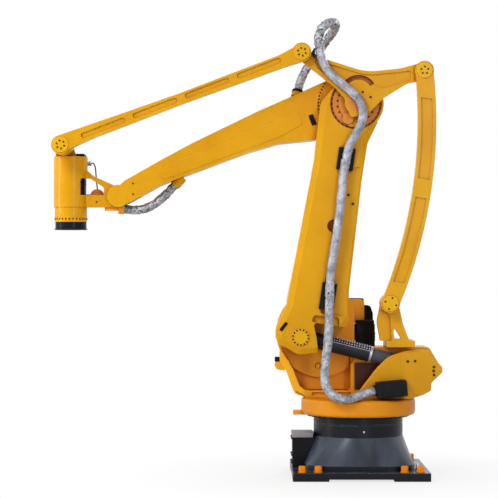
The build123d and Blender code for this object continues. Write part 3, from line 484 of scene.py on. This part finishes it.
NODE_MATERIALS = {
    PAINT: ("near_cheek", "link_bracket", "lower_arm", "upper_arm", "hose_clamp", "wrist_hose_gland",
            "link_plate", "rear_link", "top_rod", "wrist_casting", "wrist_gear_can"),
    PAINT_RING_SHADED: ("turret_ring",),
    PAINT_FRAME_LIT: ("turret_frame",),
    PAINT_WARM: ("arm_stop", "waist_stop", "wrist_hose_bracket"),
    PAINT_SHADED: ("elbow_gearbox",),
    PAINT_SOFT: ("balancer_pin_cover", "rear_link_covers", "top_rod_covers"),
    CASTING: ("base_plate", "base_casting"),
    BOX_BLACK: ("connector_box", "tool_flange"),
    MOTOR: ("shoulder_motor", "motor_connector", "waist_motor", "elbow_motor", "wrist_motor", "arm_plug"),
    BLOCK: ("hose_connector_block", "lower_hose_bracket", "upper_hose_bracket", "plate_hose_bracket"),
    RUBBER: ("stop_bumper", "balancer_bellows"),
    BARREL: ("balancer_barrel", "balancer_rod", "balancer_tail_pin"),
    CAP: ("anchor_caps",),
    SLEEVE: ("hose_low", "hose_arm", "hose_elbow", "hose_loop", "hose_wrist"),
}
for material, nodes in NODE_MATERIALS.items():
    for node in nodes:
        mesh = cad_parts[node].data
        mesh.materials.clear()
        mesh.materials.append(material)


# Hose
def hose(name, route, material, crumple, bodies):
    """One section of the hose. crumple(share) says how creased it is along its length."""
    path = even(route_path(route), 0.0045)

    def radius(s, angle, share):
        """Folds are short along the hose and longer round it, and each section has its own."""
        amount = crumple(share)
        around = Vector((math.cos(angle) * 0.9, math.sin(angle) * 0.9, s * 22))
        spot = around + Vector((len(name) * 3.7, 0, 0))
        fold = abs(noise.noise(spot * 1.4)) + 0.5 * abs(noise.noise(spot * 3.1))
        drift = noise.noise(spot * 0.35)
        return HOSE_R * (1.0 + amount * 0.30 * (0.33 - fold) + 0.03 * drift)

    bm = bmesh.new()
    sweep(bm, path, radius, 32)
    tube = new_object(name + "_sleeve", bm, material, 50)
    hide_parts(name)
    if len(bodies) == 1:
        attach(tube, bodies[0])
    else:
        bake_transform(tube)


def near_ends(low, high):
    """More creased close to the ends, where the clamps gather the sleeve."""
    return lambda share: low + (high - low) * max(0.0, 1 - min(share, 1 - share) / 0.18)


hose("hose_low", HOSE_LOW, SPECKLED, lambda t: 1.1, ("turret", "lower_arm"))
hose("hose_arm", HOSE_ARM, SLEEVE, near_ends(0.55, 1.8), ("lower_arm",))
hose("hose_elbow", HOSE_ELBOW, SLEEVE, near_ends(0.3, 0.7), ("lower_arm", "link_plate"))
hose("hose_loop", HOSE_LOOP, FOIL, lambda t: 1.5 if t < 0.7 else 0.7, ("link_plate", "upper_arm"))
hose("hose_wrist", HOSE_WRIST, FOIL, lambda t: 1.2, ("upper_arm", "wrist"))


def piece(name, build, material, body):
    """Builds one piece in mesh code and sets it riding on its body."""
    bm = bmesh.new()
    build(bm)
    obj = new_object(name, bm, material)
    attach(obj, body)
    return obj


def screws(name, places, r, height, material, body):
    """One piece of socket-head screws whose heads face the near side."""
    def build(bm):
        for place in places:
            cap_screw(bm, place, NEAR, r, height)
    piece(name, build, material, body)


# Straps round the hose at the arm's brackets, and the collar at its clamp
def hose_strap(name, route_end, beyond):
    """A thin silvery strap where a bracket holds the hose."""
    start = Vector(route_end)
    axis = (Vector(beyond) - start).normalized()
    radius, width, thick = HOSE_R * 0.95, 0.012, HOSE_R * 0.12

    def build(bm):
        lathe(bm, start + axis * 0.022 - axis * (width / 2), axis,
              [(radius, 0), (radius + thick, 0.0006), (radius + thick, width - 0.0006), (radius, width)], 36)
    piece(name, build, FOIL, "lower_arm")


hose_strap("strap_lower_bracket", HOSE_ARM[0], HOSE_ARM[1])
hose_strap("strap_upper_bracket", HOSE_ARM[-1], HOSE_ARM[-2])


def hose_collar(bm):
    """The black ring where the loop of the hose goes into its clamp on the upper arm."""
    start = Vector(HOSE_LOOP[-1])
    axis = (Vector(HOSE_LOOP[-2]) - start).normalized()
    profile = [(0.0302, 0), (0.0312, 0.001), (0.0312, 0.0155), (0.026, 0.0165)]
    lathe(bm, start - axis * 0.016, axis, profile, 36)


piece("hose_collar", hose_collar, BLOCK, "upper_arm")

# Near faces, along Y, that the screws and rings stand on
COVER_NEAR_Y = 0.270
PIN_COVER_NEAR_Y = 0.174
GEARBOX_NEAR_Y = 0.144
PLATE_NEAR_Y = 0.212
UPPER_NEAR_Y = 0.073
FORK_NEAR_Y = 0.070
CHEEK_NEAR_Y = 0.170
LOWER_NEAR_Y = 0.168
WEB_NEAR_Y = 0.035

# Bolted covers on the pivots
for name, centre, count, body, radius in (("bolts_rod_rear", ROD_REAR, 6, "top_rod", 0.021),
                                          ("bolts_rod_front", ROD_FRONT, 6, "top_rod", 0.021),
                                          ("bolts_link_top", LINK_TOP, 5, "rear_link", 0.019),
                                          ("bolts_link_foot", LINK_FOOT, 4, "rear_link", 0.030)):
    screws(name, ring_points(at(centre, COVER_NEAR_Y), radius, count, 18), 0.0046, 0.004, DARK_STEEL, body)
screws("bolts_pin_cover", ring_points(at(FRONT_PIN, PIN_COVER_NEAR_Y), 0.0405, 14, 10), 0.0046, 0.0035,
       DARK_STEEL, "lower_arm")

# Elbow gearbox: two rings of bolts, raised rings, a pinion cap and the plate's hub bolts
GEARBOX_FACE = at(ELBOW, GEARBOX_NEAR_Y)
screws("bolts_gearbox_outer", ring_points(GEARBOX_FACE, 0.127, 32), 0.0052, 0.006, BRONZED, "lower_arm")
screws("bolts_gearbox_inner", ring_points(GEARBOX_FACE, 0.098, 20, 9), 0.0066, 0.007, BRONZED, "lower_arm")


def gear_face(bm):
    """Two raised rings on the gearbox's face."""
    outer = [(0.116, -0.002), (0.116, 0.0022), (0.108, 0.0022), (0.108, -0.001)]
    inner = [(0.086, -0.002), (0.086, 0.006), (0.082, 0.008), (0.074, 0.008), (0.072, -0.001)]
    for profile in (outer, inner):
        lathe(bm, GEARBOX_FACE, NEAR, profile, 64)


# The raised rings take the darker copy of the paint: painted shade from the link plate
piece("gearbox_rings", gear_face, PAINT_SHADED, "lower_arm")


def pinion_cap(bm):
    """The cap over the drive pinion, with six screws."""
    centre = Vector((0.039, GEARBOX_NEAR_Y, 1.891))
    lathe(bm, centre, NEAR, [(0.030, -0.002), (0.030, 0.009), (0.027, 0.012), (0.012, 0.012), (0.010, 0.009),
                             (0, 0.009)], 36)
    for place in ring_points(centre + NEAR * 0.012, 0.020, 6, 12):
        cap_screw(bm, place, NEAR, 0.003, 0.003)


piece("pinion_cap", pinion_cap, PAINT_SOFT, "lower_arm")
screws("bolts_plate_hub", spots(PLATE_NEAR_Y, (-0.054, 2.017), (-0.012, 2.044)), 0.0055, 0.005, DARK_STEEL,
       "link_plate")


def slot_shade_sheet(bm):
    """A brown sheet behind the curved slot of the link plate, painted as the shade seen through it."""
    centre = ELBOW + Vector((-0.011, 0, 0.048))
    inner, outer = 0.068, 0.106
    far_y, near_y = 0.1745, 0.1779
    rings = []
    for i in range(25):
        angle = math.radians(28 + 126 * i / 24)
        out = Vector((math.cos(angle), 0, math.sin(angle)))
        rings.append([bm.verts.new(at(centre + out * r, y))
                      for r, y in ((inner, far_y), (outer, far_y), (outer, near_y), (inner, near_y))])
    for low, high in zip(rings, rings[1:]):
        for k in range(4):
            bm.faces.new((low[k], low[(k + 1) % 4], high[(k + 1) % 4], high[k]))
    bm.faces.new(rings[0][::-1])
    bm.faces.new(rings[-1])


piece("slot_shade_sheet", slot_shade_sheet, PAINT_SHADED, "link_plate")

# Bolts round the root of the upper arm
ROOT_R = 0.197
ROOT_ANGLES = [math.radians(-22 + 5.2 * i) for i in range(17)]
root_points = [on_upper(ROOT_R * math.cos(a), ROOT_R * math.sin(a), UPPER_NEAR_Y) for a in ROOT_ANGLES]
screws("bolts_arm_root", root_points, 0.0048, 0.0018, DARK_STEEL, "upper_arm")

# Bolts and the slot on the near side of the cheek and the lower arm
screws("bolts_cheek", spots(CHEEK_NEAR_Y, (-0.254, 0.617), (-0.293, 0.619), (-0.393, 0.588), (-0.391, 0.567),
                            (-0.393, 0.545), (-0.060, 0.470)), 0.0065, 0.006, DARK_STEEL, "turret")
screws("bolts_arm_side", spots(LOWER_NEAR_Y, (0.060, 1.501), (0.037, 1.454)), 0.0065, 0.006, MOTOR,
       "lower_arm")


def arm_slot(bm):
    """A thin dark plate, painted as the shade inside the slot in the lower arm's near face, beside the
    balancer's pin.
    """
    matrix = Matrix.Translation((0.405, 0.1695, 0.802)) @ Matrix.Rotation(math.radians(-38), 4, "Y")
    box(bm, (-0.009, -0.0015, -0.027), (0.009, 0.0015, 0.027), 0.0012, matrix)


piece("arm_slot", arm_slot, RUBBER, "lower_arm")

# Connector block on the turret
BLOCK_TILT = math.radians(5)
BLOCK_CENTRE = Vector((-0.163, 0.284, 0.475))


def on_block(x, z):
    """A point of the tilted block's near face."""
    return BLOCK_CENTRE + Vector((x * math.cos(BLOCK_TILT) + z * math.sin(BLOCK_TILT), 0,
                                  -x * math.sin(BLOCK_TILT) + z * math.cos(BLOCK_TILT)))


screws("bolts_hose_block", [on_block(x, z) for x in (-0.068, 0.068) for z in (-0.029, 0.029)], 0.005, 0.004,
       DARK_STEEL, "turret")


def block_cover(bm):
    """The block's cover plate, and a raised band on its upper and lower sides."""
    matrix = Matrix.Translation(BLOCK_CENTRE) @ Matrix.Rotation(BLOCK_TILT, 4, "Y")
    box(bm, (-0.052, -0.001, -0.034), (0.052, 0.004, 0.034), 0.0025, matrix)
    box(bm, (-0.060, -0.045, -0.0425), (0.060, -0.010, 0.0425), 0.002, matrix)


piece("block_cover", block_cover, BLOCK, "turret")

# Turntable, neck and turning frame
RING_BOTTOM_Z = 0.326
NECK_R = 0.240


def ring_bolts(bm):
    """Bolts round the underside of the turntable ring."""
    count = 48
    for i in range(count):
        angle = 2 * math.pi * i / count
        out = Vector((math.cos(angle), math.sin(angle), 0))
        hex_screw(bm, out * 0.268 + Vector((0, 0, RING_BOTTOM_Z)), -UP, 0.0075, 0.009, angle)


piece("bolts_turntable", ring_bolts, MOTOR, "turret")


def front_strip(bm):
    """A row of small bolts along the lower front edge of the turning frame."""
    start, end = Vector((0.294, 0.030, 0.4255)), Vector((0.336, 0.030, 0.4465))
    for i in range(8):
        cap_screw(bm, start.lerp(end, i / 7), NEAR, 0.0027, 0.003)


piece("bolts_frame_edge", front_strip, DARK_STEEL, "turret")


def floor_screws(bm):
    """A row of small screws on the floor of the turning frame."""
    profile = [(0.0042, -0.001), (0.0042, 0.004), (0.003, 0.005)]
    for i in range(22):
        lathe(bm, Vector((0.062 + 0.0095 * i, -0.030, 0.452)), UP, profile, 10)


piece("bolts_rim", floor_screws, BRONZED, "turret")
NECK_BOLT_ANGLE = math.radians(94)
NECK_BOLT = Vector((NECK_R * math.cos(NECK_BOLT_ANGLE), NECK_R * math.sin(NECK_BOLT_ANGLE), 0.248))
screws("bolts_neck", [NECK_BOLT], 0.006, 0.006, STEEL, "base")


def housing_ring(bm):
    """Open dark ring on the housing, standing 1 mm out so that the arm's foot passes clear of it."""
    centre = Vector((0.214, -0.0682, 0.580))
    path = [centre + Vector((0.014 * math.cos(a), 0, 0.016 * math.sin(a)))
            for a in (math.radians(-60 + 300 * i / 20) for i in range(21))]
    sweep(bm, path, lambda s, a, t: 0.0032, 10)


piece("housing_ring", housing_ring, DARK_STEEL, "turret")

# Balancer: AXIS points from its front pin to its tail pin, and PERP points up across it
AXIS = (TAIL_PIN - FRONT_PIN).normalized()
PERP = Vector((AXIS.z, 0, -AXIS.x))
BARREL_START = FRONT_PIN + Vector((0, 0.089, 0))


def on_balancer(along):
    """A point on the balancer's centre line."""
    return BARREL_START + AXIS * along


def round_barrel(angle_deg):
    """The direction away from the centre line at an angle up from the near side."""
    angle = math.radians(angle_deg)
    return PERP * math.sin(angle) + NEAR * math.cos(angle)


def barrel_studs(bm):
    """Three rows of small studs along the upper near side of the barrel, in bright steel as a painted
    highlight: the dotted glint along its ribs.
    """
    profile = [(0.0042, 0), (0.0040, 0.0028), (0.0026, 0.0038)]
    for i in range(15):
        along = 0.180 + 0.0138 * i
        for j in range(3):
            out = round_barrel(40 + 24 * j)
            lathe(bm, on_balancer(along) + out * 0.0415, out, profile, 8)


def barrel_rails(bm):
    """Two thin rods along the barrel, one on its near side and one on its far side."""
    for angle_deg in (24, 156):
        out = round_barrel(angle_deg)
        path = [on_balancer(0.150 + 0.0238 * i) + out * 0.0418 for i in range(11)]
        sweep(bm, path, lambda s, a, t: 0.0019, 8)


def barrel_clamp(bm):
    """The bright clamp band where the barrel meets the bellows, with its screw."""
    place = on_balancer(0.3895)
    lathe(bm, place - AXIS * 0.009, AXIS, [(0.040, 0), (0.0445, 0.001), (0.0445, 0.013), (0.040, 0.014)], 48)
    out = (NEAR * 0.75 + PERP * 0.66).normalized()
    hex_screw(bm, place + out * 0.044, out, 0.005, 0.008)


piece("barrel_ribs", barrel_studs, STEEL, "balancer_barrel")
piece("barrel_rails", barrel_rails, SILVER, "balancer_barrel")
piece("barrel_clamp", barrel_clamp, SILVER, "balancer_barrel")


def bellows(bm):
    """The folded rubber sleeve, in place of the plain CAD one."""
    start, count, pitch = 0.392, 22, 0.0083
    profile = [(0.0315, 0.0), (0.0375, 0.0)]
    for i in range(count):
        z = pitch * i
        profile += [(0.0378, z + 0.0014), (0.0378, z + 0.0028), (0.0340, z + 0.0052), (0.0340, z + 0.0062)]
    profile += [(0.0375, pitch * count), (0.0315, pitch * count)]
    lathe(bm, on_balancer(start), AXIS, profile, 48)


folds = piece("bellows_folds", bellows, BELLOWS_SHEEN, "balancer_barrel")
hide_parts("balancer_bellows")


# Wrist
def can_bolts(bm):
    """Bolts round the lower end of the gear cylinder."""
    count = 28
    for i in range(count):
        angle = 2 * math.pi * i / count
        out = Vector((math.cos(angle), math.sin(angle), 0))
        lathe(bm, Vector((TOOL_X, 0, 1.3765)) + out * 0.0865, out,
              [(0.0048, -0.001), (0.0048, 0.0022), (0.0036, 0.003)], 10)


def can_ring(bm):
    """A raised ring above the gear cylinder's bolts."""
    centre = Vector((TOOL_X, 0, 1.361))
    lathe(bm, centre + UP * 0.0245, UP, [(0.0868, 0), (0.0886, 0.001), (0.0886, 0.004), (0.0868, 0.005)], 72)


def flange_lip(bm):
    """The rounded lip of the tool flange."""
    centre = Vector((TOOL_X, 0, 1.318))
    lathe(bm, centre, UP, [(0.083, 0.0005), (0.0885, 0.0015), (0.0885, 0.0065), (0.083, 0.009)], 72)


screws("bolts_wrist", spots(WEB_NEAR_Y, (1.495, 1.492), (1.495, 1.469), (1.409, 1.468)), 0.0045, 0.0035,
       DARK_STEEL, "wrist")
piece("bolts_gear_can", can_bolts, BRONZED, "wrist")
piece("gear_can_rings", can_ring, PAINT_WARM, "wrist")
piece("flange_lip", flange_lip, BOX_BLACK, "tool")
screws("bolts_wrist_fork", [on_upper(x, z, FORK_NEAR_Y) for x, z in ((1.262, 0.034), (1.282, -0.020))],
       0.0045, 0.0035, DARK_STEEL, "upper_arm")


def wrist_motor_trim(bm):
    """The wrist motor's lid and cooling fins."""
    low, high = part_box("wrist_motor")
    lid_low = (low.x + 0.004, low.y + 0.004, high.z - 0.014)
    lid_high = (high.x - 0.004, high.y - 0.004, high.z + 0.004)
    box(bm, lid_low, lid_high, 0.003)
    for k in range(7):
        z = low.z + 0.06 + 0.016 * k
        box(bm, (low.x - 0.002, low.y + 0.012, z), (high.x + 0.002, high.y - 0.012, z + 0.005), 0.001)


piece("wrist_motor_fins", wrist_motor_trim, MOTOR, "wrist")


def wrist_plug(bm):
    """The bright plug on the wrist motor that its lead leaves from."""
    start = Vector((1.476, -0.045, 1.676))
    lathe(bm, start, Vector((-1, 0, 0.12)).normalized(),
          [(0.014, -0.004), (0.014, 0.008), (0.0115, 0.010), (0.0115, 0.022), (0.013, 0.023), (0.013, 0.030),
           (0.006, 0.034)], 20)


piece("wrist_connector", wrist_plug, SILVER, "wrist")


def far_boss(bm):
    """The round boss behind the wrist's web, and the strip that carries it, in darker paint as painted shade.
    """
    lathe(bm, Vector((1.412, -0.075, 1.503)), NEAR,
          [(0.034, 0), (0.037, 0.004), (0.037, 0.040), (0.033, 0.046), (0, 0.046)], 40)
    box(bm, (1.380, -0.075, 1.4975), (1.470, -0.028, 1.512), 0.003)


piece("wrist_far_boss", far_boss, PAINT_SHADED, "wrist")


# Thin lead from the wrist motor's plug down behind the web of the wrist
WRIST_LEAD = ((1.450, -0.045, 1.680), (1.437, -0.045, 1.684), (1.426, -0.045, 1.671), (1.421, -0.046, 1.646),
              (1.419, -0.048, 1.614), (1.417, -0.049, 1.580), (1.412, -0.049, 1.544), (1.408, -0.049, 1.508))
LEAD_R = 0.0034
lead_path = even(route_path(WRIST_LEAD), 0.004)
bm = bmesh.new()
sweep(bm, lead_path, lambda s, angle, share: LEAD_R, 12)
lead = new_object("wrist_motor_lead", bm, CABLE, 60)
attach(lead, "wrist")


# Motors: cooling ribs and covers
def motor_ribs(name, node, axis_index, count):
    """Ribs round a motor on the turret, along one of its axes."""
    low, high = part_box(node)

    def build(bm):
        start, end = low[axis_index] + 0.03, high[axis_index] - 0.05
        for k in range(count):
            place = start + (end - start) * k / (count - 1)
            first, last = Vector(low), Vector(high)
            first[axis_index], last[axis_index] = place, place + 0.006
            for i in range(3):
                if i != axis_index:
                    first[i] -= 0.002
                    last[i] += 0.002
            box(bm, first, last, 0.0015)
    piece(name, build, MOTOR, "turret")


motor_ribs("shoulder_motor_ribs", "shoulder_motor", 1, 11)
motor_ribs("waist_motor_ribs", "waist_motor", 2, 5)


def waist_encoder(bm):
    """The encoder cover on top of the waist motor."""
    low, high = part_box("waist_motor")
    box(bm, (low.x + 0.004, -0.146, high.z - 0.002), (high.x - 0.004, -0.086, high.z + 0.022), 0.004)


piece("waist_motor_cover", waist_encoder, MOTOR, "turret")


def elbow_motor_rings(bm):
    """Rings round the elbow motor."""
    low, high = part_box("elbow_motor")
    profile = [(0.065, 0), (0.0675, 0.0005), (0.0675, 0.0055), (0.065, 0.006)]
    for k in range(12):
        lathe(bm, at(ELBOW, low.y + 0.028 + 0.017 * k), NEAR, profile, 48)


piece("elbow_motor_ribs", elbow_motor_rings, MOTOR, "upper_arm")


# Base: anchor caps, box lid, box screws and levelling screws
PLATE_TOP_Z = 0.044
ANCHOR_AT = 0.310
ANCHOR_PITCH = 0.084


def anchor_heads(bm):
    """Hexagon caps on flat washers, in place of the CAD caps."""
    for sx in (-1, 1):
        for sy in (-1, 1):
            for shift in (0, -ANCHOR_PITCH):
                foot = Vector((sx * (ANCHOR_AT + shift), sy * ANCHOR_AT, PLATE_TOP_Z))
                lathe(bm, foot, UP, [(0.0225, 0), (0.0225, 0.003), (0.0212, 0.004), (0.017, 0.004)], 28)
                lathe(bm, foot, UP, [(0.0195, 0.003), (0.0195, 0.030), (0.0168, 0.0335), (0.009, 0.0335),
                                     (0.0085, 0.029), (0, 0.029)], 6, 0.2 + shift)


heads = piece("anchor_heads", anchor_heads, CAP, "base")
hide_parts("anchor_caps")


def box_lid(bm):
    """The steel lid of the connector box."""
    low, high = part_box("connector_box")
    lid_low = (0.246, low.y - 0.0025, high.z - 0.022)
    lid_high = (high.x + 0.003, high.y + 0.0025, high.z + 0.0045)
    box(bm, lid_low, lid_high, 0.002)


def box_screws(bm):
    """Screws on the connector box's outer end."""
    low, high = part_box("connector_box")
    for z in (0.070, 0.110, 0.200):
        for y in (-0.060, 0.060):
            hex_screw(bm, Vector((high.x, y, z)), Vector((1, 0, 0)), 0.006, 0.008)


piece("box_lid", box_lid, LID, "base")
piece("box_screws", box_screws, DARK_STEEL, "base")


def levelling_screws(bm):
    """Bright levelling screws along the plate's rear and far edges."""
    for x, y in ((-0.300, 0.225), (-0.300, -0.225), (-0.225, -0.318), (0.225, -0.318)):
        hex_screw(bm, Vector((x, y, PLATE_TOP_Z)), UP, 0.013, 0.014, 0.3)
        lathe(bm, Vector((x, y, 0.056)), UP, [(0.007, 0), (0.007, 0.026), (0.006, 0.028)], 16)


piece("levelling_screws", levelling_screws, STEEL, "base")

# Floor: white to the camera but for part of the shadow close to the robot
floor_nodes = Nodes("floor_white")
floor_nodes.set(Base_Color=(0.82, 0.82, 0.82, 1), Roughness=0.6)
white = floor_nodes.new("ShaderNodeEmission")
white.inputs[0].default_value = (1, 1, 1, 1)
path_kind = floor_nodes.new("ShaderNodeLightPath")
fade = floor_nodes.new("ShaderNodeVectorMath", operation="LENGTH")
floor_nodes.link(floor_nodes.coordinate, fade.inputs[0])
spread = floor_nodes.new("ShaderNodeMapRange")
for socket, value in (("From Min", 0.3), ("From Max", 1.3), ("To Min", 0.72), ("To Max", 1.0)):
    spread.inputs[socket].default_value = value
floor_nodes.link(fade.outputs["Value"], spread.inputs[0])
amount = floor_nodes.new("ShaderNodeMath", operation="MULTIPLY")
floor_nodes.link(path_kind.outputs["Is Camera Ray"], amount.inputs[0])
floor_nodes.link(spread.outputs[0], amount.inputs[1])
blend_shader = floor_nodes.new("ShaderNodeMixShader")
floor_nodes.link(amount.outputs[0], blend_shader.inputs[0])
floor_nodes.link(floor_nodes.shader.outputs[0], blend_shader.inputs[1])
floor_nodes.link(white.outputs[0], blend_shader.inputs[2])
floor_nodes.link(blend_shader.outputs[0], floor_nodes.out.inputs[0])
bm = bmesh.new()
bmesh.ops.create_circle(bm, cap_ends=True, segments=64, radius=9)
floor_mesh = bpy.data.meshes.new("floor")
bm.to_mesh(floor_mesh)
bm.free()
floor_mesh.materials.append(floor_nodes.material)
floor = bpy.data.objects.new("floor", floor_mesh)
floor.location = (0, 0, -0.0005)
scene.collection.objects.link(floor)

# World: pure white to the camera and in reflections, and a plain soft light for the rest
world = bpy.data.worlds.new("studio")
scene.world = world
world.use_nodes = True
tree = world.node_tree
tree.nodes.clear()
world_out = tree.nodes.new("ShaderNodeOutputWorld")
lit = tree.nodes.new("ShaderNodeBackground")
lit.inputs[0].default_value = (1, 1, 1, 1)
lit.inputs[1].default_value = 0.42
seen = tree.nodes.new("ShaderNodeBackground")
seen.inputs[0].default_value = (1, 1, 1, 1)
rays = tree.nodes.new("ShaderNodeLightPath")
seen_rays = rays.outputs["Is Camera Ray"]
for kind in ("Is Glossy Ray", "Is Transmission Ray"):
    total = tree.nodes.new("ShaderNodeMath")
    total.operation = "ADD"
    total.use_clamp = True
    tree.links.new(seen_rays, total.inputs[0])
    tree.links.new(rays.outputs[kind], total.inputs[1])
    seen_rays = total.outputs[0]
mixed = tree.nodes.new("ShaderNodeMixShader")
tree.links.new(seen_rays, mixed.inputs[0])
tree.links.new(lit.outputs[0], mixed.inputs[1])
tree.links.new(seen.outputs[0], mixed.inputs[2])
tree.links.new(mixed.outputs[0], world_out.inputs[0])


# Lamps
def area_light(name, place, target, size, power):
    """A rectangular lamp that points at a target."""
    data = bpy.data.lights.new(name, "AREA")
    data.shape = "RECTANGLE"
    data.size, data.size_y = size
    data.energy = power
    light = bpy.data.objects.new(name, data)
    light.location = place
    light.rotation_euler = (Vector(target) - Vector(place)).to_track_quat("-Z", "Y").to_euler()
    scene.collection.objects.link(light)


area_light("key", (3.2, 4.6, 4.6), (0.4, 0, 1.2), (2.0, 2.0), 150)
area_light("front", (-1.5, 6.0, 2.2), (0.3, 0, 1.1), (0.45, 3.0), 66)
area_light("left_strip", (4.2, 0.6, 1.8), (0.6, 0, 1.4), (0.7, 3.2), 45)
area_light("back_rim", (-2.6, -3.4, 3.4), (0.2, 0, 1.3), (1.6, 1.6), 60)

scene.view_settings.view_transform = "Standard"
